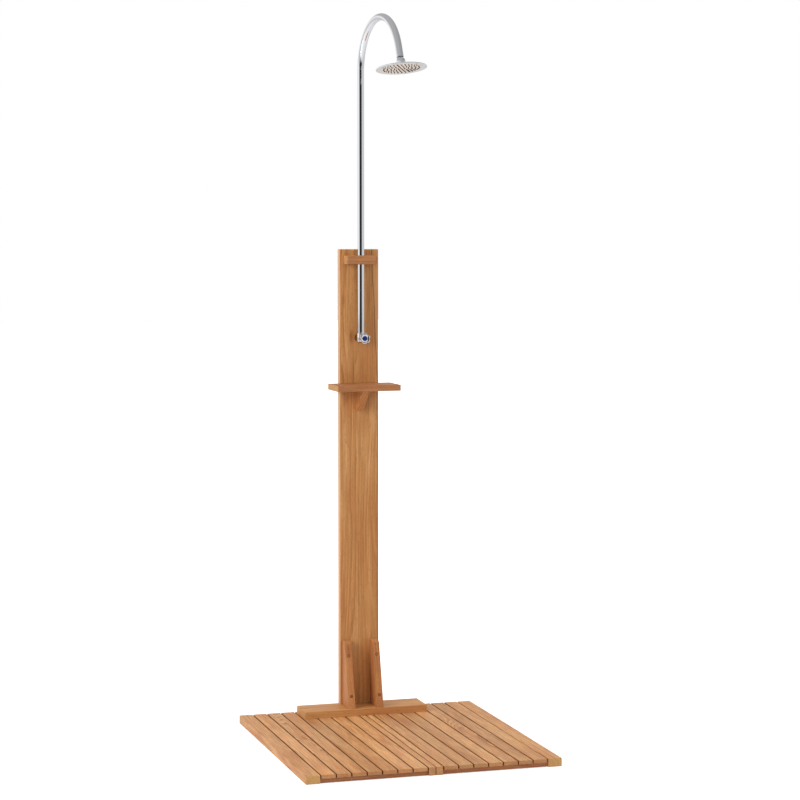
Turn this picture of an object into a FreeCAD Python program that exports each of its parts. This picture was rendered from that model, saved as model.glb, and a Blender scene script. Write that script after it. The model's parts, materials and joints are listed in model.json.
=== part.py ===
import FreeCAD, Part
import math
import os

# Outdoor shower post: a slatted teak tray in two panels, a foot board across its back edge,
# an upright post held by two tapered gussets, a small bracketed shelf, and a polished pipe
# that rises from a tap through a clamp block and bends forward to a swivelling rain head.
# Millimetres, +Z up.  The user stands on the tray at -Y, the post is at +Y.
# The origin is the middle of the underside of the whole.

Vec = FreeCAD.Vector
os.makedirs("parts", exist_ok=True)

# ---- clearances ----
pin_fit = 0.05          # screws, spigots and threads in their holes, per side
joint_fit = 0.10        # tenon and rail ends in their housings, per side
bore_fit = 0.10         # pipe in the clamp block, per side
swivel_gap = 0.30       # running gap between pieces that turn against each other

# ---- tray ----
tray_depth = 820.0
tray_height = 24.0
slat_width = 41.0
slat_gap = 3.5
slat_thickness = 11.0
slats_per_panel = 7
outer_board_width = 41.0
inner_board_width = 20.0
panel_seam = 2.0        # between the two panels
rail_width = 45.0
rail_end_setback = 8.0  # first and last rail behind the slat ends
outer_housing = 25.0    # how far the rails are let into the outer boards
inner_housing = 12.0
board_ease = 1.0        # eased long edges of the slats and edge boards

# ---- foot, post and gussets ----
foot_width = 392.0
foot_depth = 104.0
foot_thickness = 22.0
foot_inset = 12.0       # foot's back edge in front of the tray's back edge
post_width = 125.0
post_thickness = 24.0
post_length = 1421.0    # above the foot board
post_ease = 1.5
tenon_width = 70.0      # stub tenon of the post in the foot board
tenon_thickness = 10.0
tenon_length = 14.0
gusset_thickness = 22.0
gusset_height = 202.0
gusset_foot_depth = 78.0
gusset_top_depth = 27.0
gusset_inset = 6.5      # in from the post's side edges
gusset_bevel = 7.0
gusset_screw_heights = (38.0, 160.0)    # above the foot

# ---- screws, with as many sides as they need ----
screw_sides = 8
screw_radius = 2.5
screw_head_radius = 4.5
screw_head_height = 3.0
screw_bite = 14.0       # shank in the second piece
screw_recess = 2.0      # head below the face it is driven from

# ---- shelf ----
shelf_top_z = 1052.0
shelf_width = 200.0
shelf_depth = 118.0
shelf_thickness = 18.5
shelf_housing = 4.0     # how far the shelf is let into the post
shelf_screw_spread = 42.0
bracket_thickness = 22.0
bracket_height = 66.0
bracket_top_depth = 80.0
bracket_toe_depth = 14.0

# ---- clamp block and pipe ----
clamp_drop = 33.0       # middle of the block below the post's top
clamp_width = 98.0
clamp_depth = 38.0
clamp_height = 27.5
clamp_corner = 6.0
clamp_screw_spread = 32.0
pipe_radius = 11.0
pipe_wall = 1.2
pipe_stand_off = 20.5   # pipe axis in front of the post
pipe_foot_z = 1204.0
spigot_length = 30.0    # lower end of the gooseneck, swaged to fit inside the riser
neck_radius = 155.0     # centreline of the bend
neck_top_z = 2165.0     # centreline at the top of the bend
neck_turn = 158.0       # degrees of bend
neck_tail = 35.0        # straight end after the bend
neck_swing = 6.0        # degrees the arm is turned about the pipe, towards +X
neck_sides = 20         # flats round the neck's outside
bore_sides = 8          # and round its bore, which nothing shows

# ---- tap ----
tap_mid_z = 1193.0
tap_radius = 13.0
tap_socket_depth = 5.0
tap_foot_drop = 13.0    # underside of the body below its middle
tap_chamfer = 4.0
tap_shoulder_across = 27.0      # hexagon that bears on the post
gland_radius = 9.0
gland_reach = 26.0      # from the pipe axis forwards
spindle_radius = 3.5
spindle_in_body = 12.0
spindle_in_knob = 13.0
knob_gap = 2.0          # behind the knob
knob_radius = 18.0
knob_depth = 19.0
knob_hub_radius = 9.5
knob_hub_depth = 4.0
knob_lobes = 6
knob_flats = 48
knob_bite = 3.6         # depth of the hollows between the lobes
knob_edge_ease = 3.0
index_cap_radius = 7.5
index_cap_depth = 2.5
index_cap_proud = 0.8

# ---- shank through the post, its nut, and the tail that the hose screws on ----
shank_radius = 12.0
shank_hole_fit = 0.5
back_nut_across = 32.0
back_nut_depth = 7.0
tail_radius = 10.48
tail_length = 16.0
tail_bore_radius = 6.5
tail_bore_depth = 12.0

# ---- ball joint and rain head, small turned pieces in flats and the wide ones in finer flats ----
turn_sides = 24
nut_sides = 36
disc_sides = 60
ball_radius = 7.5
ball_rows = 6
ball_stem_radius = 4.0
ball_cut = 3.0          # the ball is cut flat this far below its centre
ball_drop = 15.0        # ball centre beyond the neck's end
connector_flange = 1.9
connector_plug_length = 5.0
seat_wall = 1.4
seat_top_angle = 96.0   # degrees down from the head's axis, seen from the ball centre
seat_foot_angle = 112.0
nut_wall = 2.7
nut_mouth_angle = 50.0
nut_skirt = 6.5         # below the ball centre
boss_radius = 11.0
head_drop = 22.0        # underside of the rim below the ball centre
head_radius = 76.0
head_tilt = 9.8         # degrees from level, front edge up
head_heading = 12.0     # degrees, which way the head is tipped
rim_height = 3.0
shell_crown = 7.0       # the shell's crown above its rim
shell_wall = 1.2
water_way_radius = 5.0
face_plate_thickness = 1.2
face_plate_rim = 2.0    # rim of the shell round the plate
nozzle_rings = 5
nozzle_pitch = 10.6
nozzle_sides = 5
nozzle_base_radius = 1.8
nozzle_tip_radius = 1.1
nozzle_proud = 1.6

# ---- places worked out from the sizes ----
inlet_projection = back_nut_depth + tail_length
back_overhang = max(0.0, inlet_projection - foot_inset)
tray_back = (tray_depth - back_overhang) / 2.0
tray_front = tray_back - tray_depth
rail_thickness = tray_height - slat_thickness
slat_pitch = slat_width + slat_gap
foot_back = tray_back - foot_inset
foot_front = foot_back - foot_depth
foot_top = tray_height + foot_thickness
post_back = foot_back
post_front = post_back - post_thickness
post_top = foot_top + post_length
clamp_mid_z = post_top - clamp_drop
pipe_y = post_front - pipe_stand_off
pipe_bore = pipe_radius - pipe_wall
gusset_mid_x = post_width / 2.0 - gusset_inset - gusset_thickness / 2.0
shelf_under = shelf_top_z - shelf_thickness
up = Vec(0, 0, 1)
front_way = Vec(0, -1, 0)
rear_way = Vec(0, 1, 0)


def save(node, shape):
    shape.exportStep("parts/" + node + ".step")


def block(x0, x1, y0, y1, z0, z1):
    return Part.makeBox(x1 - x0, y1 - y0, z1 - z0, Vec(x0, y0, z0))


def rod(radius, start, end):
    along = end - start
    return Part.makeCylinder(radius, along.Length, start, along)


def bored(shape, tools):
    return shape.cut(Part.makeCompound(tools))


def outline_face(points):
    return Part.Face(Part.makePolygon(points + [points[0]]))


def outline_solid(points, push):
    # a closed outline pushed into a solid
    return outline_face(points).extrude(push)


def corners(sides, radius, centre, along):
    # the corners of a regular outline, square to a direction
    turn_to = FreeCAD.Rotation(up, along)
    turns = [2 * math.pi * number / sides for number in range(sides)]
    return [centre + turn_to.multVec(Vec(radius * math.cos(a), radius * math.sin(a), 0)) for a in turns]


def prism(sides, radius, start, end):
    return outline_solid(corners(sides, radius, start, end - start), end - start)


def screw(head_face, way, grip):
    # head_face is the outer face of the head, way the direction it is driven, grip the shank's length
    head_foot = head_face + way * screw_head_height
    head = prism(screw_sides, screw_head_radius, head_face, head_foot)
    return head.fuse(prism(screw_sides, screw_radius, head_foot, head_foot + way * grip))


def screw_hole(head_face, way, grip):
    # a stepped hole, open towards the side that the screw comes from
    head_foot = head_face + way * screw_head_height
    outside = head_face - way * (screw_recess + screw_head_radius * 2)
    counterbore = prism(screw_sides, screw_head_radius + pin_fit, outside, head_foot)
    return counterbore.fuse(prism(screw_sides, screw_radius + pin_fit, head_foot, head_foot + way * grip))


def round_hole(radius, start, end):
    # a hole in flats that a round rod of this radius fits in
    return prism(turn_sides, (radius + pin_fit) / math.cos(math.pi / turn_sides), start, end)


def stacked(rings, hollow=False):
    # flats between rings of corners: a hollow form joins its last ring to its first, a full one has ends
    faces = [] if hollow else [outline_face(rings[0]), outline_face(rings[-1])]
    afters = rings[1:] + rings[:1] if hollow else rings[1:]
    for lower, upper in zip(rings, afters):
        for number in range(len(lower)):
            after = (number + 1) % len(lower)
            faces.append(outline_face([lower[number], lower[after], upper[after], upper[number]]))
    return Part.makeSolid(Part.makeShell(faces))


def turned(section, sides, hollow=False):
    # a section of (radius, height) turned about the Z axis in flats
    return stacked([corners(sides, radius, Vec(0, 0, height), up) for radius, height in section], hollow)


def eased_board(x0, x1, z0, z1):
    # a tray board that runs front to back, its two upper long edges eased
    points = [Vec(x0, tray_front, z0), Vec(x1, tray_front, z0), Vec(x1, tray_front, z1 - board_ease),
              Vec(x1 - board_ease, tray_front, z1), Vec(x0 + board_ease, tray_front, z1),
              Vec(x0, tray_front, z1 - board_ease)]
    return outline_solid(points, Vec(0, tray_depth, 0))


# ---- tray ----
inner_edge = panel_seam / 2.0
first_slat = inner_edge + inner_board_width + slat_gap
outer_edge = first_slat + slats_per_panel * slat_pitch
panel_edge = outer_edge + outer_board_width
rail_inner_end = inner_edge + inner_board_width - inner_housing
rail_outer_end = outer_edge + outer_housing
rail_pitch = (tray_depth - 2 * rail_end_setback - rail_width) / 2.0
first_rail = tray_front + rail_end_setback
rail_starts = {"front": first_rail, "middle": first_rail + rail_pitch, "rear": first_rail + 2 * rail_pitch}


def span(side, near, far):
    # a stretch of X on the left (-1) or right (1) panel, in rising order
    return (near, far) if side > 0 else (-far, -near)


for side, word in ((-1, "left"), (1, "right")):
    x0, x1 = span(side, rail_inner_end, rail_outer_end)
    housings = []
    for place, y0 in rail_starts.items():
        save(word + "_rail_" + place, block(x0, x1, y0, y0 + rail_width, 0, rail_thickness))
        housings.append(block(x0 - joint_fit, x1 + joint_fit, y0 - joint_fit, y0 + rail_width + joint_fit,
                              -1, rail_thickness))
    outer = eased_board(*span(side, outer_edge, panel_edge), 0, tray_height)
    save(word + "_outer_board", bored(outer, housings))
    inner = eased_board(*span(side, inner_edge, inner_edge + inner_board_width), 0, tray_height)
    save(word + "_inner_board", bored(inner, housings))
    for number in range(slats_per_panel):
        near = first_slat + number * slat_pitch
        slat = eased_board(*span(side, near, near + slat_width), rail_thickness, tray_height)
        save(word + "_slat_" + str(number + 1), slat)

# ---- foot board, with a mortise for the post ----
post_mid_y = (post_front + post_back) / 2.0
foot = block(-foot_width / 2.0, foot_width / 2.0, foot_front, foot_back, tray_height, foot_top)
foot_lip = [edge for edge in foot.Edges if edge.BoundBox.ZMin > foot_top - board_ease]
foot = foot.makeChamfer(board_ease, foot_lip)
mortise_x = tenon_width / 2.0 + joint_fit
mortise_y = tenon_thickness / 2.0 + joint_fit
mortise = block(-mortise_x, mortise_x, post_mid_y - mortise_y, post_mid_y + mortise_y,
                foot_top - tenon_length - joint_fit, foot_top + 1)
save("foot_board", foot.cut(mortise))

# ---- gussets, screwed to the post through their sloping fronts ----
gusset_slope = (gusset_top_depth - gusset_foot_depth) / gusset_height
gusset_screws = []
gusset_holes = []
for side in (-1, 1):
    for height in gusset_screw_heights:
        face_depth = gusset_foot_depth + gusset_slope * height
        head_face = Vec(side * gusset_mid_x, post_front - face_depth + screw_recess, foot_top + height)
        grip = face_depth - screw_recess - screw_head_height + screw_bite
        gusset_screws.append(screw(head_face, rear_way, grip))
        gusset_holes.append(screw_hole(head_face, rear_way, grip))
save("gusset_screws", Part.makeCompound(gusset_screws))

bevel_height = gusset_height - gusset_bevel
bevel_depth = gusset_foot_depth + gusset_slope * bevel_height
gusset_profile = [(0, 0), (gusset_foot_depth, 0), (bevel_depth, bevel_height),
                  (gusset_top_depth - gusset_bevel, gusset_height), (0, gusset_height)]
for side, word in ((-1, "left"), (1, "right")):
    x0 = side * gusset_mid_x - gusset_thickness / 2.0
    points = [Vec(x0, post_front - depth, foot_top + height) for depth, height in gusset_profile]
    gusset = outline_solid(points, Vec(gusset_thickness, 0, 0))
    save("gusset_" + word, bored(gusset, gusset_holes))

# ---- shelf, let into the post, and the bracket under it ----
shelf_front = post_front - shelf_depth
shelf = block(-shelf_width / 2.0, shelf_width / 2.0, shelf_front, post_front, shelf_under, shelf_top_z)
shelf_lip = [edge for edge in shelf.Edges if edge.BoundBox.YMax < post_front]
shelf = shelf.makeChamfer(board_ease, shelf_lip)
housing_x = post_width / 2.0 - 2 * post_ease
shelf_tongue = block(-housing_x, housing_x, post_front - 1, post_front + shelf_housing,
                     shelf_under, shelf_top_z)
shelf = shelf.fuse(shelf_tongue).removeSplitter()


def back_screws(places):
    # screws driven forwards from the back of the post, and their holes
    faces = [Vec(x, post_back - screw_recess, z) for x, z in places]
    grip = post_thickness - screw_recess - screw_head_height + screw_bite
    screws = [screw(face, front_way, grip) for face in faces]
    holes = [screw_hole(face, front_way, grip) for face in faces]
    return screws, holes


shelf_mid_z = shelf_top_z - shelf_thickness / 2.0
shelf_places = [(-shelf_screw_spread, shelf_mid_z), (shelf_screw_spread, shelf_mid_z),
                (0.0, shelf_under - bracket_height / 3.0)]
shelf_screws, shelf_holes = back_screws(shelf_places)
save("shelf_screws", Part.makeCompound(shelf_screws))
save("shelf_board", bored(shelf, shelf_holes))

bracket_profile = [(0, 0), (bracket_top_depth, 0), (bracket_toe_depth, -bracket_height), (0, -bracket_height)]
bracket_points = [Vec(-bracket_thickness / 2.0, post_front - depth, shelf_under + drop)
                  for depth, drop in bracket_profile]
bracket = outline_solid(bracket_points, Vec(bracket_thickness, 0, 0))
save("shelf_bracket", bored(bracket, shelf_holes))

# ---- clamp block, with the pipe through it ----
clamp_foot_z = clamp_mid_z - clamp_height / 2.0
clamp_top_z = clamp_mid_z + clamp_height / 2.0
clamp_mid_y = post_front - clamp_depth / 2.0
clamp = block(-clamp_width / 2.0, clamp_width / 2.0, post_front - clamp_depth, post_front,
              clamp_foot_z, clamp_top_z)
clamp_corners = [edge for edge in clamp.Edges
                 if edge.BoundBox.ZLength > clamp_height / 2.0 and edge.BoundBox.YMax < clamp_mid_y]
clamp = clamp.makeFillet(clamp_corner, clamp_corners)
clamp_lips = [edge for edge in clamp.Edges
              if edge.BoundBox.ZLength < board_ease and edge.BoundBox.YMin < clamp_mid_y]
clamp = clamp.makeChamfer(board_ease, clamp_lips)
clamp_bore = rod(pipe_radius + bore_fit, Vec(0, pipe_y, clamp_foot_z - 1), Vec(0, pipe_y, clamp_top_z + 1))
clamp_places = [(-clamp_screw_spread, clamp_mid_z), (clamp_screw_spread, clamp_mid_z)]
clamp_screws, clamp_holes = back_screws(clamp_places)
save("clamp_screws", Part.makeCompound(clamp_screws))
save("clamp_block", bored(clamp, clamp_holes + [clamp_bore]))

# ---- post ----
post = block(-post_width / 2.0, post_width / 2.0, post_front, post_back, foot_top, post_top)
post_edges = [edge for edge in post.Edges if edge.BoundBox.ZMax > foot_top + post_ease]
post = post.makeChamfer(post_ease, post_edges)
tenon = block(-tenon_width / 2.0, tenon_width / 2.0, post_mid_y - tenon_thickness / 2.0,
              post_mid_y + tenon_thickness / 2.0, foot_top - tenon_length, foot_top + 1)
post = post.fuse(tenon).removeSplitter()
shelf_slot = block(-housing_x - joint_fit, housing_x + joint_fit, post_front - 1,
                   post_front + shelf_housing + joint_fit, shelf_under - joint_fit, shelf_top_z + joint_fit)
shank_hole = rod(shank_radius + shank_hole_fit, Vec(0, post_front - 1, tap_mid_z),
                 Vec(0, post_back + 1, tap_mid_z))
save("post_board", bored(post, gusset_holes + clamp_holes + shelf_holes + [shelf_slot, shank_hole]))

# ---- riser, and the gooseneck whose swaged foot stands in it inside the clamp block ----
pipe_foot = Vec(0, pipe_y, pipe_foot_z)
neck_foot = Vec(0, pipe_y, clamp_mid_z)
save("riser_tube", rod(pipe_radius, pipe_foot, neck_foot).cut(rod(pipe_bore, pipe_foot, neck_foot)))

swing = math.radians(neck_swing)
turn = math.radians(neck_turn)
arm_way = Vec(math.sin(swing), -math.cos(swing), 0)
bend_axis = up.cross(arm_way)
bend_start = Vec(0, pipe_y, neck_top_z - neck_radius)
bend_centre = bend_start + arm_way * neck_radius
bend_end = bend_centre - arm_way * (neck_radius * math.cos(turn)) + up * (neck_radius * math.sin(turn))
neck_way = arm_way * math.sin(turn) + up * math.cos(turn)
neck_end = bend_end + neck_way * neck_tail
spigot_foot = neck_foot - up * spigot_length
spigot_radius = pipe_bore - pin_fit
swage_top = neck_foot + up * pipe_wall
plug_room = neck_end - neck_way * (connector_plug_length + pin_fit)


def bent(section):
    # a section at the foot of the bend, swept round it
    return section.revolve(bend_centre, bend_axis, neck_turn)


def neck_run(sides, radius, foot):
    # one section from a foot below the bend, round it and on to the neck's end
    section = outline_face(corners(sides, radius, bend_start, up))
    curve = bent(section)
    return [section.extrude(foot - bend_start), curve, curve.Faces[-1].extrude(neck_way * neck_tail)]


outside_runs = neck_run(neck_sides, pipe_radius, neck_foot)
spigot = rod(spigot_radius, spigot_foot, neck_foot)
neck_outside = outside_runs[0].fuse(outside_runs[1:] + [spigot]).removeSplitter()
neck_hollow = neck_run(bore_sides, pipe_bore, swage_top)
neck_hollow.append(rod(pipe_bore, plug_room, neck_end + neck_way))
neck_hollow.append(rod(spigot_radius - pipe_wall, spigot_foot - up, swage_top + up))
save("neck_tube", bored(neck_outside, neck_hollow))

# ---- tap body: a cylinder under the pipe, a gland, a hexagon on the post, a shank through it, a tail ----
tap_mid = Vec(0, pipe_y, tap_mid_z)
tap_top = pipe_foot + up * tap_socket_depth
tap_foot = tap_mid - up * tap_foot_drop
nut_face = Vec(0, post_back, tap_mid_z)
nut_back = nut_face + rear_way * back_nut_depth
tail_end = nut_back + rear_way * tail_length
gland_end = tap_mid + front_way * gland_reach
body = rod(tap_radius, tap_foot, tap_top)
body_foot = [edge for edge in body.Edges if edge.BoundBox.ZMax < tap_mid_z]
body = body.makeChamfer(tap_chamfer, body_foot)
shoulder = prism(6, tap_shoulder_across / math.sqrt(3.0), tap_mid, Vec(0, post_front, tap_mid_z))
body = body.fuse([shoulder, rod(gland_radius, tap_mid, gland_end), rod(shank_radius, tap_mid, nut_back),
                  rod(tail_radius, tap_mid, tail_end)])
body = body.removeSplitter()
spindle_inner = gland_end + rear_way * spindle_in_body
socket = rod(pipe_radius + pin_fit, pipe_foot, tap_top + up)
gland_bore = rod(spindle_radius + pin_fit, spindle_inner + rear_way * swivel_gap, gland_end + front_way)
tail_bore = rod(tail_bore_radius, tail_end - rear_way * tail_bore_depth, tail_end + rear_way)
save("valve_body", bored(body, [socket, gland_bore, tail_bore]))

back_nut = prism(6, back_nut_across / math.sqrt(3.0), nut_face, nut_back)
save("back_nut", back_nut.cut(round_hole(shank_radius, nut_face + front_way, tail_end)))

# ---- spindle, lobed knob and index cap ----
knob_back = gland_end + front_way * knob_gap
knob_face = knob_back + front_way * knob_depth
spindle_end = knob_back + front_way * spindle_in_knob
save("tap_spindle", rod(spindle_radius, spindle_inner, spindle_end))


def lobed(radius, reach):
    # a ring of the knob's outline, drawn in between the lobes, reach forwards from the knob's back
    ring = []
    for number in range(knob_flats):
        place_turn = 2 * math.pi * number / knob_flats
        hollow = (1 - math.cos(knob_lobes * place_turn)) / 2.0
        out = radius * (1 - knob_bite / knob_radius * hollow)
        ring.append(knob_back + Vec(out * math.sin(place_turn), -reach, out * math.cos(place_turn)))
    return ring


ease_corner = knob_edge_ease * (1 - math.sqrt(0.5))
knob = stacked([lobed(knob_radius - knob_edge_ease, knob_hub_depth),
                lobed(knob_radius - ease_corner, knob_hub_depth + ease_corner),
                lobed(knob_radius, knob_hub_depth + knob_edge_ease),
                lobed(knob_radius, knob_depth - knob_edge_ease),
                lobed(knob_radius - ease_corner, knob_depth - ease_corner),
                lobed(knob_radius - knob_edge_ease, knob_depth)])
hub_end = knob_back + front_way * (knob_hub_depth + knob_edge_ease)
knob = knob.fuse(prism(turn_sides, knob_hub_radius, knob_back, hub_end)).removeSplitter()
cap_seat = knob_face + rear_way * (index_cap_depth - index_cap_proud)
cap_hole = round_hole(index_cap_radius, cap_seat, knob_face + front_way)
spindle_socket = round_hole(spindle_radius, knob_back + rear_way, spindle_end)
save("tap_knob", bored(knob, [cap_hole, spindle_socket]))

cap_lip = index_cap_proud / 2.0
cap_face = cap_seat + front_way * index_cap_depth
save("index_cap", stacked([corners(turn_sides, index_cap_radius, cap_seat, front_way),
                           corners(turn_sides, index_cap_radius, cap_face + rear_way * cap_lip, front_way),
                           corners(turn_sides, index_cap_radius - cap_lip, cap_face, front_way)]))


# ---- ball connector, plugged into the neck's end ----
def on_sphere(radius, angle):
    # a point of a half section as (radius, height), angle in degrees down from the axis
    return (radius * math.sin(math.radians(angle)), radius * math.cos(math.radians(angle)))


def placed(node, shape, place):
    shape.Placement = place
    save(node, shape)


ball_centre = neck_end + neck_way * ball_drop
connector_place = FreeCAD.Placement(ball_centre, FreeCAD.Rotation(up * -1, neck_way))
neck_meet = math.degrees(math.asin(ball_stem_radius / ball_radius))
cut_meet = 180 - math.degrees(math.acos(ball_cut / ball_radius))
ball_angles = [cut_meet + (neck_meet - cut_meet) * row / ball_rows for row in range(ball_rows + 1)]
flange_foot = ball_drop - connector_flange
plug_top = ball_drop + connector_plug_length
plug_radius = pipe_bore - pin_fit
connector_section = [on_sphere(ball_radius, angle) for angle in ball_angles]
connector_section += [(ball_stem_radius, flange_foot), (pipe_radius, flange_foot), (pipe_radius, ball_drop),
                      (plug_radius, ball_drop), (plug_radius, plug_top)]
placed("ball_connector", turned(connector_section, turn_sides), connector_place)

# ---- rain head, made about the ball centre and then tipped ----
heading = math.radians(head_heading)
tip_axis = Vec(math.cos(heading), math.sin(heading), 0)
head_place = FreeCAD.Placement(ball_centre, FreeCAD.Rotation(tip_axis, -head_tilt))

# seat ring below the ball, with straight flanks that clear the ball and the pocket
seat_half_turn = math.radians((seat_foot_angle - seat_top_angle) / 2.0)
seat_inner = (ball_radius + swivel_gap) / math.cos(seat_half_turn)
seat_outer = seat_inner + seat_wall
pocket = seat_outer + swivel_gap
seat_section = [on_sphere(seat_inner, seat_top_angle), on_sphere(seat_outer, seat_top_angle),
                on_sphere(seat_outer, seat_foot_angle), on_sphere(seat_inner, seat_foot_angle)]
placed("ball_seat", turned(seat_section, turn_sides, hollow=True), head_place)

# nut: a domed collar screwed on the head's boss, its pocket wide of the ball and the seat
thread_radius = boss_radius + pin_fit
nut_radius = thread_radius + nut_wall
mouth_inner = on_sphere(pocket, nut_mouth_angle)
mouth_outer = on_sphere(nut_radius, nut_mouth_angle)
dome_mid = on_sphere(nut_radius, (nut_mouth_angle + 90) / 2.0)
nut_section = [mouth_inner, mouth_outer, dome_mid, (nut_radius, 0), (nut_radius, -nut_skirt),
               (thread_radius, -nut_skirt), (thread_radius, 0), (pocket, 0)]
placed("swivel_nut", turned(nut_section, nut_sides, hollow=True), head_place)

# shell: a threaded boss, a low crown and a thin rim, with a flat water chamber above the face plate
rim_under = -head_drop
rim_top = rim_under + rim_height
crown_z = rim_top + shell_crown
crown_radius = boss_radius + shell_crown
plate_top = rim_under + face_plate_thickness
plate_radius = head_radius - face_plate_rim
chamber_rim = plate_radius - face_plate_rim
chamber_top = rim_top - shell_wall / 2.0
pocket_floor = -(pocket + swivel_gap)
shell_section = [(pocket, 0), (boss_radius, 0), (boss_radius, crown_z), (crown_radius, crown_z),
                 (head_radius, rim_top), (head_radius, rim_under), (plate_radius + pin_fit, rim_under),
                 (plate_radius + pin_fit, plate_top), (chamber_rim, plate_top), (chamber_rim, chamber_top),
                 (water_way_radius, chamber_top), (water_way_radius, pocket_floor), (pocket, pocket_floor)]
placed("head_shell", turned(shell_section, disc_sides, hollow=True), head_place)
placed("face_plate", turned([(plate_radius, rim_under), (plate_radius, plate_top)], disc_sides), head_place)


def nozzle(middle):
    # a small tapered nub that hangs from the plate
    return stacked([corners(nozzle_sides, nozzle_base_radius, middle, up),
                    corners(nozzle_sides, nozzle_tip_radius, middle - up * nozzle_proud, up)])


nozzle_level = Vec(0, 0, rim_under)
nozzles = [nozzle(nozzle_level)]
for ring in range(1, nozzle_rings + 1):
    for step in range(6 * ring):
        place_turn = math.radians(60.0 * step / ring)
        offset = Vec(math.cos(place_turn), math.sin(place_turn), 0) * (ring * nozzle_pitch)
        nozzles.append(nozzle(nozzle_level + offset))
placed("nozzles", Part.makeCompound(nozzles), head_place)
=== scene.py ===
import json
import math
import bmesh
import bpy
from mathutils import Matrix, Vector


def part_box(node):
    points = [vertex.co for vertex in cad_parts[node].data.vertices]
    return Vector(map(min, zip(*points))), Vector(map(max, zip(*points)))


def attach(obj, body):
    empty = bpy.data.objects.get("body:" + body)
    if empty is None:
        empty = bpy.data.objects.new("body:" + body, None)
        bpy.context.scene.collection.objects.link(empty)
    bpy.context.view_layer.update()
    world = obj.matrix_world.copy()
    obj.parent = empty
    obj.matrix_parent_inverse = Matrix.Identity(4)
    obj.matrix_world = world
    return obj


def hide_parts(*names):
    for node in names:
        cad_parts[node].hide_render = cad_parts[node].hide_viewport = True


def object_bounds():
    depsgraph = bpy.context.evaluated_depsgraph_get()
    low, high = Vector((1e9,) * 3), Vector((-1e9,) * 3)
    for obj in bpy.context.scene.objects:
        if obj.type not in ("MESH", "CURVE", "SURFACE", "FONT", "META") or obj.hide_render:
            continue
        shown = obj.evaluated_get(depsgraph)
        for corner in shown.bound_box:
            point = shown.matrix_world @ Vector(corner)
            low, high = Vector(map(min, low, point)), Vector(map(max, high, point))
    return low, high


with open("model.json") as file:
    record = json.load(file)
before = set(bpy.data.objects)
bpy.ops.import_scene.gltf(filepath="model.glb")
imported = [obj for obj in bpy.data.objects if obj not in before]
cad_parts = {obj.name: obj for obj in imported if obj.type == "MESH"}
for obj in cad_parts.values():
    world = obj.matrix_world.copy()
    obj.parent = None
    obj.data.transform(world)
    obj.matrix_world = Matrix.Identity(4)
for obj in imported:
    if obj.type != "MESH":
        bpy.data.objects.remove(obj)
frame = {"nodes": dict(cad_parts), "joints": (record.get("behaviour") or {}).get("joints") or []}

cadBox = [list(corner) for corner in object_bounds()]
mm = 0.001
up = Vector((0, 0, 1))
backward = Vector((0, 1, 0))
forward = -backward
nodes = frame["nodes"]
joints = {joint["name"]: joint for joint in frame["joints"]}


# small tools for meshes

sharpDeg = 32
weldM = 0.00001


def placeAlong(origin, direction):
    # local +Z turned to a direction, local origin at a point
    return Matrix.Translation(origin) @ direction.to_track_quat("Z", "Y").to_matrix().to_4x4()


def arcPoints(centreR, centreZ, radius, startDeg, endDeg, steps):
    # a round corner of a turned profile
    turns = [math.radians(startDeg + (endDeg - startDeg) * i / steps) for i in range(steps + 1)]
    return [(centreR + radius * math.cos(t), centreZ + radius * math.sin(t)) for t in turns]


def ringMesh(name, rings):
    # quads between rings of equally many points, closed at both ends
    bm = bmesh.new()
    made = [[bm.verts.new(point) for point in ring] for ring in rings]
    count = len(made[0])
    for first, second in zip(made, made[1:]):
        for i in range(count):
            after = (i + 1) % count
            bm.faces.new((first[i], first[after], second[after], second[i]))
    bm.faces.new(list(reversed(made[0])))
    bm.faces.new(made[-1])
    bmesh.ops.recalc_face_normals(bm, faces=bm.faces)
    mesh = bpy.data.meshes.new(name)
    bm.to_mesh(mesh)
    bm.free()
    return mesh


def turnedMesh(name, profile, place, sides=96, lobes=None):
    # a profile of (radius, height) in mm, turned about local Z
    # lobes(radius, height, turn) may change the radius on the way round
    rings = []
    for radius, height in profile:
        ring = []
        for i in range(sides):
            turn = 2 * math.pi * i / sides
            reach = lobes(radius, height, turn) if lobes else radius
            ring.append(place @ (Vector((reach * math.cos(turn), reach * math.sin(turn), height)) * mm))
        rings.append(ring)
    return ringMesh(name, rings)


def gathered(name, meshes):
    # meshes as one
    bm = bmesh.new()
    for mesh in meshes:
        bm.from_mesh(mesh)
        bpy.data.meshes.remove(mesh)
    joined = bpy.data.meshes.new(name)
    bm.to_mesh(joined)
    bm.free()
    return joined


def addPiece(name, mesh, material, body, stands=()):
    # a smooth piece that moves with a body; stands are the CAD nodes that it replaces
    mesh.polygons.foreach_set("use_smooth", [True] * len(mesh.polygons))
    mesh.set_sharp_from_angle(angle=math.radians(sharpDeg))
    mesh.materials.append(material)
    piece = bpy.data.objects.new(name, mesh)
    bpy.context.scene.collection.objects.link(piece)
    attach(piece, body)
    if stands:
        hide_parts(*stands)
    return piece


# small tools for materials

# sockets of a Mix node: its part, its two colours and their mix, and its two numbers
mixPart = 0
mixUnder = 6
mixOver = 7
mixed = 2
numberUnder = 2
numberOver = 3
# a map range with soft ends
smooth = {"interpolation_type": "SMOOTHSTEP"}


def hexColour(code):
    # an sRGB hex value as linear RGBA
    parts = [int(code[i:i + 2], 16) / 255 for i in (1, 3, 5)]
    linear = [c / 12.92 if c <= 0.04045 else ((c + 0.055) / 1.055) ** 2.4 for c in parts]
    return (*linear, 1.0)


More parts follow.
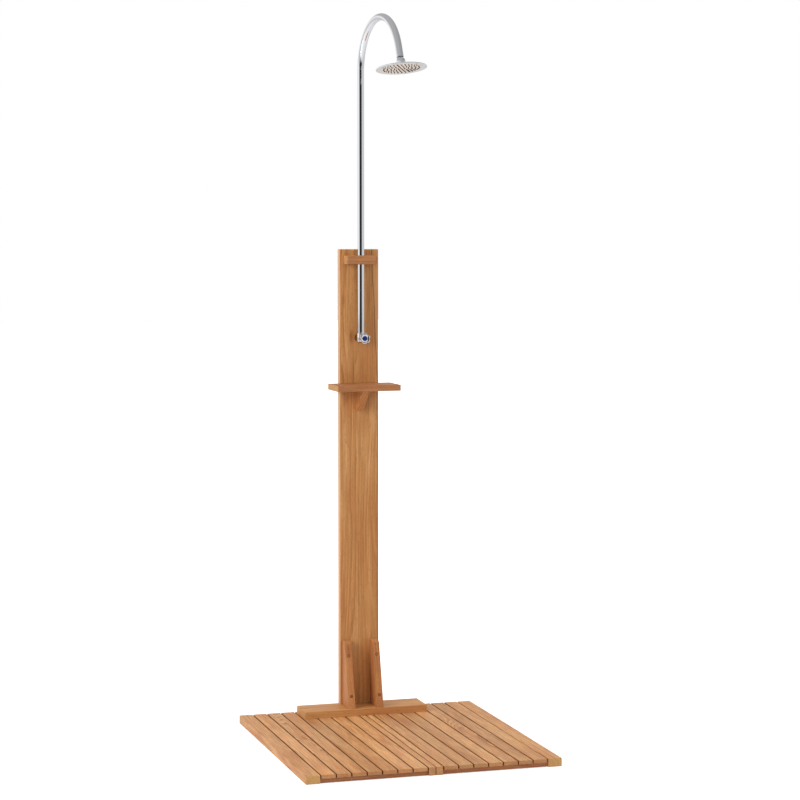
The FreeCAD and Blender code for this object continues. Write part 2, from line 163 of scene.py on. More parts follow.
def addNode(tree, kind, settings=None, links=None):
    # settings go to the node's own properties (small letter) or its sockets
    # stops are a ramp's colours, and span is what a map range maps from and to
    node = tree.nodes.new("ShaderNode" + kind)
    for name, value in (settings or {}).items():
        if name == "stops":
            ramp = node.color_ramp
            for stop in value[1:-1]:
                ramp.elements.new(stop[0])
            for element, (place, code) in zip(sorted(ramp.elements, key=lambda e: e.position), value):
                element.position = place
                element.color = hexColour(code)
        elif name == "span":
            for socket, number in zip(("From Min", "From Max", "To Min", "To Max"), value):
                node.inputs[socket].default_value = number
        elif isinstance(name, str) and name[0].islower():
            setattr(node, name, value)
        else:
            node.inputs[name].default_value = value
    for name, source in (links or {}).items():
        # a node stands for its first output
        tree.links.new(source.outputs[0] if hasattr(source, "outputs") else source, node.inputs[name])
    return node


def newMaterial(name, settings):
    # a material, its tree and its Principled shader
    material = bpy.data.materials.new(name)
    material.use_nodes = True
    tree = material.node_tree
    shader = tree.nodes["Principled BSDF"]
    for socket, value in settings.items():
        shader.inputs[socket].default_value = value
    return material, tree, shader


# oiled teak, planed and wiped with oil: soft straight grain with a few flames, open pores and a satin sheen
# the rings' width is a real one, but fibres and pores are too fine to show, so they are drawn coarser
# a From pair is where a pattern starts and where it is full
teak = {
    "ringMm": 9.5, "flameMm": 150.0, "flameWidthMm": 85.0, "flameLengthMm": 900.0, "slant": 0.35,
    "wobbleMm": 7.0, "wobbleWidthMm": 16.0, "wobbleLengthMm": 210.0,
    "plainWidthMm": 40.0, "plainLengthMm": 380.0, "plainFrom": (0.4, 0.62), "plainPart": (0.2, 0.8),
    "cloudWidthMm": 38.0, "cloudLengthMm": 300.0, "redFrom": (0.54, 0.76), "paleFrom": (0.47, 0.28),
    "cloudPart": 0.6, "streakMm": 5.5, "streakLengthMm": 280.0, "streakFrom": (0.6, 0.74), "streakPart": 0.5,
    "knotMm": 55.0, "knotLengthMm": 210.0, "knotShare": 0.16, "knotFrom": (0.2, 0.04), "knotPart": 0.65,
    "fibreMm": 2.2, "fibreLengthMm": 110.0, "fibreFrom": (0.3, 0.7), "fibreTone": (0.86, 1.12),
    "poreMm": 0.9, "poreLengthMm": 14.0, "poreFrom": (0.6, 0.72), "porePart": 0.45, "poreDepthMm": 0.15,
    "relief": 0.35, "early": "#D29A60", "mid": "#C28850", "late": "#A96C38", "pore": "#74431F",
    "red": "#B06A38", "pale": "#DCA870", "streak": "#935628", "knot": "#7A4522", "sawnEnd": "#C4955A",
    "endFrom": (0.8, 0.97), "endPart": 0.55, "boardTone": (0.9, 1.1), "roughness": (0.43, 0.6),
    "specular": 0.3, "logMm": (731.0, 397.0, 1370.0),
}


def teakMaterial(name, along, look, marks=None):
    # along is the axis that the grain follows: 0, 1 or 2; marks adds what only some boards have
    material, tree, shader = newMaterial(name, {"IOR": 1.5, "Specular IOR Level": look["specular"]})
    place = addNode(tree, "TexCoord")
    info = addNode(tree, "ObjectInfo")
    # millimetres, and each board sawn from its own place in the log
    offset = addNode(tree, "VectorMath", {"operation": "SCALE", 0: look["logMm"]},
                     {"Scale": info.outputs["Random"]})
    board = addNode(tree, "VectorMath", {"operation": "MULTIPLY_ADD", 1: (1 / mm,) * 3},
                    {0: place.outputs["Object"], 2: offset})

    def alongGrain(acrossMm, lengthMm):
        # board coordinates squeezed so that a pattern is acrossMm wide and lengthMm long
        squeeze = [1 / acrossMm] * 3
        squeeze[along] = 1 / lengthMm
        squeezed = addNode(tree, "VectorMath", {"operation": "MULTIPLY", 1: squeeze}, {0: board})
        return squeezed.outputs[0]

    def streaks(acrossMm, lengthMm, detail):
        # soft stripes along the grain
        return addNode(tree, "TexNoise", {"Scale": 1.0, "Detail": detail, "Roughness": 0.55},
                       {"Vector": alongGrain(acrossMm, lengthMm)}).outputs["Fac"]

    # year rings run along the board, and slow drift across it bends some of them into flames
    split = addNode(tree, "SeparateXYZ", links={0: board})
    wide, deep = [axis for axis in range(3) if axis != along]
    sideways = addNode(tree, "Math", {"operation": "MULTIPLY_ADD", 1: look["slant"]},
                       {0: split.outputs[deep], 2: split.outputs[wide]})
    flame = streaks(look["flameWidthMm"], look["flameLengthMm"], 1.0)
    drift = addNode(tree, "Math", {"operation": "MULTIPLY_ADD", 1: look["flameMm"]}, {0: flame, 2: sideways})
    shiver = streaks(look["wobbleWidthMm"], look["wobbleLengthMm"], 2.0)
    wobble = addNode(tree, "Math", {"operation": "MULTIPLY_ADD", 1: look["wobbleMm"]}, {0: shiver, 2: drift})
    rings = addNode(tree, "Math", {"operation": "MULTIPLY", 1: 1 / look["ringMm"]}, {0: wobble})
    ring = addNode(tree, "Math", {"operation": "FRACT"}, {0: rings})
    ringStops = [(0.0, look["early"]), (0.5, look["mid"]), (0.84, look["late"]), (1.0, look["early"])]
    grain = addNode(tree, "ValToRGB", {"stops": ringStops}, {0: ring})
    # rings fade where the cut runs flat through them
    plain = addNode(tree, "MapRange", {"span": (*look["plainFrom"], *look["plainPart"])},
                    {"Value": streaks(look["plainWidthMm"], look["plainLengthMm"], 1.0)})
    # broad redder and paler clouds, and narrow dark streaks
    broad = streaks(look["cloudWidthMm"], look["cloudLengthMm"], 2.0)
    redSpan = (*look["redFrom"], 0.0, look["cloudPart"])
    redPart = addNode(tree, "MapRange", {"span": redSpan}, {"Value": broad})
    paleSpan = (*look["paleFrom"], 0.0, look["cloudPart"])
    palePart = addNode(tree, "MapRange", {"span": paleSpan}, {"Value": broad})
    streakPart = addNode(tree, "MapRange", {"span": (*look["streakFrom"], 0.0, look["streakPart"])},
                         {"Value": streaks(look["streakMm"], look["streakLengthMm"], 2.0)})
    # a small knot here and there
    cells = addNode(tree, "TexVoronoi", {"Scale": 1.0},
                    {"Vector": alongGrain(look["knotMm"], look["knotLengthMm"])})
    chosen = addNode(tree, "SeparateColor", links={0: cells.outputs["Color"]})
    few = addNode(tree, "Math", {"operation": "GREATER_THAN", 1: 1 - look["knotShare"]}, {0: chosen})
    spot = addNode(tree, "MapRange", {"span": (*look["knotFrom"], 0.0, look["knotPart"])},
                   {"Value": cells.outputs["Distance"]})
    knotPart = addNode(tree, "Math", {"operation": "MULTIPLY"}, {0: few, 1: spot})
    colour = grain.outputs[0]
    for key, part in (("mid", plain), ("red", redPart), ("pale", palePart), ("streak", streakPart),
                      ("knot", knotPart)):
        colour = addNode(tree, "Mix", {"data_type": "RGBA", mixOver: hexColour(look[key])},
                         {mixPart: part, mixUnder: colour}).outputs[mixed]
    # fibres lighten and darken it, and open pores are short dark dashes
    fibre = streaks(look["fibreMm"], look["fibreLengthMm"], 3.0)
    comb = addNode(tree, "MapRange", {"span": (*look["fibreFrom"], *look["fibreTone"])}, {"Value": fibre})
    tone = addNode(tree, "MapRange", {"span": (0.0, 1.0, *look["boardTone"])},
                   {"Value": info.outputs["Random"]})
    value = addNode(tree, "Math", {"operation": "MULTIPLY"}, {0: comb, 1: tone})
    colour = addNode(tree, "HueSaturation", links={"Value": value, "Color": colour}).outputs[0]
    pores = addNode(tree, "MapRange", {"span": (*look["poreFrom"], 0.0, look["porePart"])},
                    {"Value": streaks(look["poreMm"], look["poreLengthMm"], 1.0)})
    colour = addNode(tree, "Mix", {"data_type": "RGBA", mixOver: hexColour(look["pore"])},
                     {mixPart: pores, mixUnder: colour}).outputs[mixed]
    if marks:
        colour = marks(tree, place, colour)
    # sawn ends have their own tone
    facing = addNode(tree, "SeparateXYZ", links={0: place.outputs["Normal"]})
    square = addNode(tree, "Math", {"operation": "ABSOLUTE"}, {0: facing.outputs[along]})
    endSpan = (*look["endFrom"], 0.0, look["endPart"])
    endPart = addNode(tree, "MapRange", {"span": endSpan}, {"Value": square})
    colour = addNode(tree, "Mix", {"data_type": "RGBA", mixOver: hexColour(look["sawnEnd"])},
                     {mixPart: endPart, mixUnder: colour}).outputs[mixed]
    tree.links.new(colour, shader.inputs["Base Color"])
    depth = addNode(tree, "Math", {"operation": "MULTIPLY_ADD", 1: -1.0}, {0: pores, 2: fibre})
    bump = addNode(tree, "Bump", {"Strength": look["relief"], "Distance": look["poreDepthMm"] * mm},
                   {"Height": depth})
    tree.links.new(bump.outputs[0], shader.inputs["Normal"])
    gloss = addNode(tree, "MapRange", {"span": (*look["fibreFrom"], *look["roughness"])}, {"Value": fibre})
    tree.links.new(gloss.outputs[0], shader.inputs["Roughness"])
    return material


# the post's own marks: paler sapwood at its right edge behind a thin dark line, made paler still as painted
# light over the pipe's shadow, painted light and sheen on its left side, which faces the left lamp, and
# reddish patches, each with its place and half width
postLow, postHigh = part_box("post_board")
postFront = postLow.y
postBack = postHigh.y
postMarks = {
    "lineMm": 45.2, "lineTopMm": 1382.0, "lineLean": 0.041, "lineEdgeMm": 58.8, "lineWidthMm": 2.0,
    "waveMm": 10.0, "waveLengthMm": 200.0, "line": "#6B3D1C", "linePart": 0.65, "sapwoodAndLightFadeMm": 3.0,
    "sapwoodAndLight": "#DDA470", "sapwoodAndLightPart": 0.36, "paintedLeftLight": "#E6CAB0", "paintedLeftLightPart": 0.42,
    "sideFrom": (-0.5, -0.9), "deepen": 0.3,
    "patches": [
        {"xMm": -25.0, "zMm": 1198.0, "flatten": 0.35, "radiusMm": 11.0, "part": 0.75, "code": "#8E4B29"},
        {"xMm": -50.0, "zMm": 1310.0, "flatten": 0.3, "radiusMm": 11.0, "part": 0.5, "code": "#97592F"},
        {"xMm": -42.0, "zMm": 1005.0, "flatten": 0.4, "radiusMm": 14.0, "part": 0.5, "code": "#95562F"},
        {"xMm": 30.0, "zMm": 990.0, "flatten": 0.4, "radiusMm": 15.0, "part": 0.45, "code": "#9C6238"},
        {"xMm": -6.0, "zMm": 930.0, "flatten": 0.22, "radiusMm": 12.0, "part": 0.2, "code": "#99592F"},
    ],
}


def markPost(tree, place, colour):
    placeMm = addNode(tree, "VectorMath", {"operation": "SCALE", "Scale": 1 / mm},
                      {0: place.outputs["Object"]})
    split = addNode(tree, "SeparateXYZ", links={0: placeMm})
    lineFoot = postMarks["lineMm"] + postMarks["lineTopMm"] * postMarks["lineLean"]
    lean = addNode(tree, "Math", {"operation": "MULTIPLY_ADD", 1: -postMarks["lineLean"], 2: lineFoot},
                   {0: split.outputs[2]})
    edge = addNode(tree, "Math", {"operation": "MINIMUM", 1: postMarks["lineEdgeMm"]}, {0: lean})
    slow = addNode(tree, "TexNoise", {"Scale": 1 / postMarks["waveLengthMm"], "Detail": 1.0},
                   {"Vector": placeMm})
    wave = addNode(tree, "Math", {"operation": "MULTIPLY_ADD", 1: postMarks["waveMm"],
                                  2: -postMarks["waveMm"] / 2}, {0: slow.outputs["Fac"]})
    border = addNode(tree, "Math", {"operation": "ADD"}, {0: edge, 1: wave})
    beyond = addNode(tree, "Math", {"operation": "SUBTRACT"}, {0: split.outputs[0], 1: border})
    away = addNode(tree, "Math", {"operation": "ABSOLUTE"}, {0: beyond})
    facing = addNode(tree, "SeparateXYZ", links={0: place.outputs["Normal"]})
    # the sapwood tint is partly paler wood and partly painted light over the pipe's shadow
    sapwoodAndLightSpan = (0.0, postMarks["sapwoodAndLightFadeMm"], 0.0, postMarks["sapwoodAndLightPart"])
    lineSpan = (postMarks["lineWidthMm"], postMarks["lineWidthMm"] / 4, 0.0, postMarks["linePart"])
    # the left side's pale tint is painted light and sheen where the left lamp falls
    paintedLeftLightSpan = (*postMarks["sideFrom"], 0.0, postMarks["paintedLeftLightPart"])
    tints = []
    for key, span, source in (("sapwoodAndLight", sapwoodAndLightSpan, beyond), ("line", lineSpan, away),
                              ("paintedLeftLight", paintedLeftLightSpan, facing)):
        part = addNode(tree, "MapRange", {"span": span}, {"Value": source})
        tints.append((postMarks[key], part))
    for patch in postMarks["patches"]:
        middle = (patch["xMm"], postFront / mm, patch["zMm"])
        off = addNode(tree, "VectorMath", {"operation": "SUBTRACT", 1: middle}, {0: placeMm})
        squeeze = (1.0, postMarks["deepen"], patch["flatten"])
        oval = addNode(tree, "VectorMath", {"operation": "MULTIPLY", 1: squeeze}, {0: off})
        reach = addNode(tree, "VectorMath", {"operation": "LENGTH"}, {0: oval})
        part = addNode(tree, "MapRange", dict(smooth, span=(patch["radiusMm"], 0.0, 0.0, patch["part"])),
                       {"Value": reach.outputs["Value"]})
        tints.append((patch["code"], part))
    for code, part in tints:
        colour = addNode(tree, "Mix", {"data_type": "RGBA", mixOver: hexColour(code)},
                         {mixPart: part, mixUnder: colour}).outputs[mixed]
    return colour


# the gap between slats: painted shade on the slats' sides, so that each gap is a dark line
gapShade = {"code": "#6E3410", "part": 0.8, "sideFrom": (0.5, 0.9)}


def paintGapShade(tree, place, colour):
    # the slats' sides are darkened as painted shade, where the gap between slats is shaded
    facing = addNode(tree, "SeparateXYZ", links={0: place.outputs["Normal"]})
    aside = addNode(tree, "Math", {"operation": "ABSOLUTE"}, {0: facing.outputs[0]})
    part = addNode(tree, "MapRange", {"span": (*gapShade["sideFrom"], 0.0, gapShade["part"])}, {"Value": aside})
    return addNode(tree, "Mix", {"data_type": "RGBA", mixOver: hexColour(gapShade["code"])},
                   {mixPart: part, mixUnder: colour}).outputs[mixed]


# slats: the palest teak, with most figure, the coarsest fibres and brown sawn ends
slatLook = dict(
    teak, early="#DCA671", mid="#CF9763", late="#B47A4A", red="#B4703F", streak="#96592F", sawnEnd="#A8744A",
    ringMm=9.0, flameMm=110.0, flameLengthMm=1300.0, wobbleMm=5.0, boardTone=(0.88, 1.12), fibreMm=3.6,
    fibreLengthMm=70.0, fibreTone=(0.74, 1.22), redFrom=(0.5, 0.7))
teakSlats = teakMaterial("oiledTeakSlats", 1, slatLook, marks=paintGapShade)
# outer edge boards: the same teak, with clean sides and yellow sawn ends
borderLook = dict(slatLook, sawnEnd="#C39B5C", boardTone=(0.95, 1.05))
teakBorder = teakMaterial("oiledTeakBorder", 1, borderLook)
# flat-sawn slats: arches instead of straight lines
archLook = dict(slatLook, ringMm=12.0, flameMm=260.0, flameWidthMm=60.0, flameLengthMm=520.0, late="#A0683A",
                plainPart=(0.0, 0.35))
teakArched = teakMaterial("oiledTeakFlatSawn", 1, archLook, marks=paintGapShade)
# post: golden, with wide quiet grain
postLook = dict(teak, boardTone=(0.975, 0.975), ringMm=13.0, wobbleMm=11.0, plainPart=(0.3, 0.85),
                flameMm=120.0)
teakPost = teakMaterial("oiledTeakPost", 2, postLook, marks=markPost)
# gussets and the shelf's wedge: a shade browner, straight-grained
uprightLook = dict(teak, early="#C28652", mid="#B57646", late="#9A5D30", pale="#CA9058", flameMm=60.0,
                   boardTone=(0.95, 1.05))
teakUpright = teakMaterial("oiledTeakGussets", 2, uprightLook)
# foot board: pale and even
footLook = dict(teak, early="#D8A266", mid="#CC935A", late="#B47C46", flameMm=80.0,
                boardTone=(0.98, 1.02))
teakFoot = teakMaterial("oiledTeakFoot", 0, footLook)
# shelf and clamp block: the darkest teak, reddish brown
crossLook = dict(teak, early="#B57C4F", mid="#A66D44", late="#8E5530", pale="#C08858", flameMm=80.0,
                 boardTone=(0.97, 1.06))
teakCross = teakMaterial("oiledTeakShelf", 0, crossLook)
# rails under the slats: a redder hardwood, sawn and oiled
railLook = dict(teak, early="#C4875A", mid="#B3734A", late="#965A37", red="#985432", pale="#CC9266",
                sawnEnd="#A3713F")
railWood = teakMaterial("redHardwoodRails", 0, railLook)
# plugs over the screws: dark cross-grained teak, each in a line of brown glue
plugLook = dict(teak, early="#A3683A", mid="#935A2F", late="#7C4722", red="#8A4E28", pale="#A86E40",
                boardTone=(1.0, 1.0))
plugWood = teakMaterial("teakPlugs", 0, plugLook)
glueLook = dict(plugLook, early="#5A3318", mid="#4E2B13", late="#41230F", red="#54301A", pale="#5E381C")
glueLine = teakMaterial("glueLine", 0, glueLook)
print("wood ready")


# metals, plastic and rubber

def finishMaterial(name, look):
    # one fine pattern of a real size stains, dulls or dents the finish
    material, tree, shader = newMaterial(name, look["shader"])
    place = addNode(tree, "TexCoord").outputs["Object"]
    settings = {"Scale": 1 / (look["patternMm"] * mm), "Detail": look["detail"], "Roughness": look["mottle"]}
    pattern = addNode(tree, "TexNoise", settings, {"Vector": place}).outputs["Fac"]
    toneBy = pattern
    if "rimMm" in look:
        # the tone follows the distance from the ball joint instead: a painted warm reflection of the tray
        # near it
        reach = addNode(tree, "VectorMath", {"operation": "DISTANCE", 1: joints["head_tilt"]["pos_m"]},
                        {0: place}).outputs["Value"]
        reachSpan = (look["paintedReflectionMm"] * mm, look["rimMm"] * mm, 0.0, 1.0)
        toneBy = addNode(tree, "MapRange", {"span": reachSpan}, {"Value": reach}).outputs[0]
    if "tones" in look:
        tone = addNode(tree, "ValToRGB", {"stops": look["tones"]}, {0: toneBy})
        tree.links.new(tone.outputs[0], shader.inputs["Base Color"])
    if "gloss" in look:
        gloss = addNode(tree, "MapRange", {"span": look["gloss"]}, {"Value": pattern})
        tree.links.new(gloss.outputs[0], shader.inputs["Roughness"])
    if "dentMm" in look:
        bump = addNode(tree, "Bump", {"Strength": look["dent"], "Distance": look["dentMm"] * mm},
                       {"Height": pattern})
        tree.links.new(bump.outputs[0], shader.inputs["Normal"])
    return material


# chromed brass: a bright mirror with the faint haze of water marks
chromeLook = {
    "shader": {"Base Color": hexColour("#E6E7EA"), "Metallic": 1.0, "Roughness": 0.03},
    "patternMm": 26.316, "detail": 4.0, "mottle": 0.6, "gloss": (0.42, 0.72, 0.03, 0.07),
}
chrome = finishMaterial("chromedBrass", chromeLook)
# machined brass: satin and mottled brown, partly aged brass and partly painted shade and painted reflection
# of the wood
brassLook = {
    "shader": {"Metallic": 1.0, "Roughness": 0.34},
    "patternMm": 8.333, "detail": 5.0, "mottle": 0.5, "tones": [(0.35, "#7A5A33"), (0.6, "#A98449")],
}
brass = finishMaterial("agedBrassAndPaintedShade", brassLook)
# turned stainless screws: plain grey, with turning marks drawn coarser than real to show
screwLook = {
    "shader": {"Base Color": hexColour("#B4B1AB"), "Metallic": 1.0, "Roughness": 0.32},
    "patternMm": 1.111, "detail": 2.0, "mottle": 0.5, "dent": 0.15, "dentMm": 0.1,
}
screwSteel = finishMaterial("stainlessSteelScrews", screwLook)
# moulded silicone of the nozzles: dark and dull, with a chalky bloom of lime
siliconeLook = {
    "shader": {"Roughness": 0.6, "IOR": 1.43},
    "patternMm": 3.3333, "detail": 3.0, "mottle": 0.5, "tones": [(0.45, "#3A2C25"), (0.75, "#57463B")],
}
silicone = finishMaterial("darkSilicone", siliconeLook)
# moulded ABS of the cap: deep blue and glossy under a clear coat, with a faint orange peel
capLook = {
    "shader": {"Base Color": hexColour("#15256B"), "Roughness": 0.18, "IOR": 1.53, "Coat Weight": 0.6,
               "Coat Roughness": 0.05},
    "patternMm": 1.4286, "detail": 1.0, "mottle": 0.5, "dent": 0.08, "dentMm": 0.1,
}
blueCap = finishMaterial("glossBlueAbs", capLook)
# moulded acetal of the ball seat: milky and smooth
seatLook = {
    "shader": {"Roughness": 0.4, "IOR": 1.48},
    "patternMm": 5.0, "detail": 2.0, "mottle": 0.5, "tones": [(0.3, "#DAD8D0"), (0.7, "#E9E7DF")],
}
acetal = finishMaterial("milkyAcetal", seatLook)
# polished stainless face plate: a painted warm reflection of the tray and painted glints within the nozzle
# field, cooler towards the rim
plateLook = {
    "shader": {"Metallic": 1.0, "Roughness": 0.16},
    "patternMm": 16.667, "detail": 3.0, "mottle": 0.5, "gloss": (0.4, 0.7, 0.13, 0.22), "paintedReflectionMm": 20.0,
    "rimMm": 66.0, "tones": [(0.0, "#FBEADB"), (0.78, "#F5E0CD"), (1.0, "#E4E1DE")],
}
headSteel = finishMaterial("polishedStainlessPlate", plateLook)
print("metals ready")


# boards: the solids themselves, with softly worn edges

boards = {"edgeMm": 0.9, "edgeSteps": 2, "edgeFromDeg": 40, "flatSawn": ("left_slat_6", "right_slat_5")}


def dressNode(name, material, wornEdge=True):
    node = nodes[name]
    if not node.data.materials:
        node.data.materials.append(material)
    for slot in node.material_slots:
        slot.material = material
    if wornEdge:
        weld = node.modifiers.new("sharedCorners", "WELD")
        weld.merge_threshold = weldM
        worn = node.modifiers.new("wornEdges", "BEVEL")
        worn.width = boards["edgeMm"] * mm
        worn.segments = boards["edgeSteps"]
        worn.angle_limit = math.radians(boards["edgeFromDeg"])
        worn.limit_method = "ANGLE"


for name in nodes:
    if name in boards["flatSawn"]:
        dressNode(name, teakArched)
    elif "_slat_" in name or name.endswith("inner_board"):
        dressNode(name, teakSlats)
    elif name.endswith("outer_board"):
        dressNode(name, teakBorder)
    elif "_rail_" in name:
        dressNode(name, railWood)
    elif name in ("gusset_left", "gusset_right", "shelf_bracket"):
        dressNode(name, teakUpright)
    elif name in ("shelf_board", "clamp_block"):
        dressNode(name, teakCross)
    elif name.endswith("_screws"):
        dressNode(name, screwSteel, wornEdge=False)
dressNode("post_board", teakPost)
dressNode("foot_board", teakFoot)
dressNode("tap_spindle", brass, wornEdge=False)
dressNode("ball_seat", acetal, wornEdge=False)
print("boards dressed")


# shower pipe: riser and gooseneck as one smooth tube

pipe = {
    "radiusMm": 10.93, "lipMm": 0.6, "seamMm": 0.35, "bendRadiusMm": 155.0, "bendDeg": 158.0, "tailMm": 35.0,
    "swingDeg": 6.0, "topOfBendMm": 2165.0, "sides": 48, "bendSteps": 90, "riserSteps": 5,
}
riserLow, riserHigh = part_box("riser_tube")
pipeFoot = Vector(((riserLow.x + riserHigh.x) / 2, (riserLow.y + riserHigh.y) / 2, riserLow.z))
swing = math.radians(pipe["swingDeg"])
armWay = Vector((math.sin(swing), -math.cos(swing), 0))
sideWay = up.cross(armWay)
bendStart = Vector((pipeFoot.x, pipeFoot.y, (pipe["topOfBendMm"] - pipe["bendRadiusMm"]) * mm))
bendCentre = bendStart + armWay * pipe["bendRadiusMm"] * mm


def pipeRing(centre, outward, radius):
    turns = [2 * math.pi * i / pipe["sides"] for i in range(pipe["sides"])]
    return [centre + (outward * math.cos(t) + sideWay * math.sin(t)) * radius for t in turns]


def onBend(turn):
    # centre of the pipe and its outward direction part-way round the bend
    outward = -armWay * math.cos(turn) + up * math.sin(turn)
    return bendCentre + outward * pipe["bendRadiusMm"] * mm, outward


bendTurn = math.radians(pipe["bendDeg"])
neckWay = armWay * math.sin(bendTurn) + up * math.cos(bendTurn)
bendEnd, endOutward = onBend(bendTurn)
neckEnd = bendEnd + neckWay * pipe["tailMm"] * mm
outer = pipe["radiusMm"] * mm
lip = pipe["lipMm"] * mm
pipeRings = [pipeRing(pipeFoot, -armWay, outer - lip), pipeRing(pipeFoot + up * lip, -armWay, outer)]
for step in range(1, pipe["riserSteps"]):
    pipeRings.append(pipeRing(pipeFoot.lerp(bendStart, step / pipe["riserSteps"]), -armWay, outer))
# the fine seam where the gooseneck is pushed into the riser
seam = pipe["seamMm"] * mm
for below, depth in ((4, 0), (3, seam), (2, seam), (1, 0)):
    pipeRings.append(pipeRing(bendStart - up * seam * below, -armWay, outer - depth))
for step in range(pipe["bendSteps"] + 1):
    centre, outward = onBend(bendTurn * step / pipe["bendSteps"])
    pipeRings.append(pipeRing(centre, outward, outer))
pipeRings.append(pipeRing(neckEnd - neckWay * lip, endOutward, outer))
pipeRings.append(pipeRing(neckEnd, endOutward, outer - lip))
addPiece("showerPipe", ringMesh("showerPipe", pipeRings), chrome, "stand",
         stands=("riser_tube", "neck_tube"))
print("pipe bent")


# tap body, its shank through the post, the nut behind and the thread for the hose

tap = {
    "midMm": 1193.0, "barrelMm": 13.0, "topMm": 1209.0, "footMm": 1180.0, "roundMm": 4.5, "edgeMm": 1.5,
    "glandMm": 9.0, "glandStartMm": 8.0, "glandReachMm": 26.0, "grooveMm": 0.7, "stemMm": 3.55,
    "hexAcrossMm": 27.0, "hexBoreMm": 8.0, "chamferMm": 1.6, "shankMm": 12.0, "shankEndMm": 9.0,
    "nutAcrossMm": 32.0, "nutDepthMm": 7.0, "tailMm": 10.48, "tailLengthMm": 16.0, "tailBevelMm": 0.9,
    "threadPitchMm": 1.814, "threadDepthMm": 0.95, "threadRunOutMm": 1.2, "boreMm": 6.5, "boreDepthMm": 12.0,
}
tapMid = Vector((pipeFoot.x, pipeFoot.y, tap["midMm"] * mm))


def hexRadius(across, clipRadius):
    # radius of a hexagon at a turn, clipped round as by a chamfer
    def radiusAt(radius, height, turn):
        inSide = (turn + math.pi / 6) % (math.pi / 3) - math.pi / 6
        flat = across / 2 / math.cos(inSide)
        return min(flat, radius) if radius > clipRadius else radius
    return radiusAt


def hexMesh(name, across, depth, bore, place):
    corner = across / math.sqrt(3)
    chamfered = across / 2 * 1.02
    chamfer = tap["chamferMm"]
    profile = [(bore, 0), (chamfered, 0), (corner, chamfer), (corner, depth - chamfer), (chamfered, depth),
               (bore, depth)]
    return turnedMesh(name, profile, place, 144, hexRadius(across, bore + 0.2))


def threadMesh(name, place):
    # a helical thread: the crest runs once round for each pitch and fades out at both ends
    radius = tap["tailMm"]
    length = tap["tailLengthMm"]
    pitch = tap["threadPitchMm"]
    bevel = tap["tailBevelMm"]
    bore = tap["boreMm"]

    def helical(reach, height, turn):
        if reach < radius - 0.01:
            return reach
        phase = (height / pitch - turn / (2 * math.pi)) % 1.0
        toEnd = (length - height) / tap["threadRunOutMm"]
        runOut = min(1.0, max(0.0, toEnd), max(0.0, height / tap["threadRunOutMm"]))
        cut = tap["threadDepthMm"] * (1 - abs(2 * phase - 1)) * runOut
        return radius - cut - bevel * (1 - min(1.0, (length - height) / bevel))

    steps = int(length / pitch * 10)
    profile = [(radius, length * i / steps) for i in range(steps + 1)]
    profile += [(bore + 0.6, length), (bore, length - 0.6), (bore, length - tap["boreDepthMm"])]
    return turnedMesh(name, profile, place, 72, helical)


barrel = tap["barrelMm"]
barrelRound = tap["roundMm"]
barrelEdge = tap["edgeMm"]
barrelHeight = tap["topMm"] - tap["footMm"]
barrelProfile = [(0.01, 0)] + arcPoints(barrel - barrelRound, barrelRound, barrelRound, -90, 0, 8)
barrelProfile += arcPoints(barrel - barrelEdge, barrelHeight - barrelEdge, barrelEdge, 0, 90, 5)
barrelProfile += [(pipe["radiusMm"], barrelHeight)]
barrelPlace = placeAlong(Vector((tapMid.x, tapMid.y, tap["footMm"] * mm)), up)
barrelMesh = turnedMesh("tapBarrel", barrelProfile, barrelPlace)

gland = tap["glandMm"]
grooved = gland - tap["grooveMm"]
glandEnd = tap["glandReachMm"]
glandProfile = [(gland, tap["glandStartMm"]), (gland, glandEnd - 6.5), (grooved, glandEnd - 6),
                (grooved, glandEnd - 5.4), (gland, glandEnd - 5)]
glandProfile += arcPoints(gland - 1, glandEnd - 1, 1, 0, 90, 4) + [(tap["stemMm"], glandEnd)]
glandMesh = turnedMesh("tapGland", glandProfile, placeAlong(tapMid, forward))
addPiece("tapBody", gathered("tapBody", [barrelMesh, glandMesh]), chrome, "stand",
         stands=("valve_body",))

shoulderDepth = (postFront - tapMid.y) / mm
shoulderMesh = hexMesh("tapShoulder", tap["hexAcrossMm"], shoulderDepth, tap["hexBoreMm"],
                       placeAlong(tapMid, backward))
shank = tap["shankMm"]
shankMesh = turnedMesh("tapShank", [(shank, 0), (shank, (postBack - postFront) / mm)],
                       placeAlong(Vector((tapMid.x, postFront, tapMid.z)), backward), 64)
nutBack = Vector((tapMid.x, postBack + tap["nutDepthMm"] * mm, tapMid.z))
shankEndProfile = [(shank, -tap["nutDepthMm"]), (shank, -0.6), (shank - 0.6, 0.0), (tap["shankEndMm"], 0.0)]
shankEndMesh = turnedMesh("tapShankEnd", shankEndProfile, placeAlong(nutBack, backward), 64)
tailMesh = threadMesh("hoseThread", placeAlong(nutBack, backward))
addPiece("tapShank", gathered("tapShank", [shoulderMesh, shankMesh, shankEndMesh, tailMesh]), brass, "stand")
nutMesh = hexMesh("backNut", tap["nutAcrossMm"], tap["nutDepthMm"], shank + 0.05,
                  placeAlong(Vector((tapMid.x, postBack, tapMid.z)), backward))
addPiece("backNut", nutMesh, chrome, "stand", stands=("back_nut",))
print("tap body turned")


# lobed knob with its blue cap

knob = {
    "gapMm": 2.0, "depthMm": 19.0, "radiusMm": 18.0, "hubMm": 9.5, "hubDepthMm": 4.0, "stemMm": 3.6,
    "lobes": 6, "biteMm": 3.4, "turnDeg": -24.0, "backRoundMm": 3.0, "faceRoundMm": 3.6, "capMm": 7.5,
    "capSinkMm": 1.8,
}
rim = knob["radiusMm"]
hub = knob["hubMm"]
hubDepth = knob["hubDepthMm"]
face = knob["depthMm"]
cap = knob["capMm"]
knobPlace = placeAlong(tapMid + forward * (tap["glandReachMm"] + knob["gapMm"]) * mm, forward)


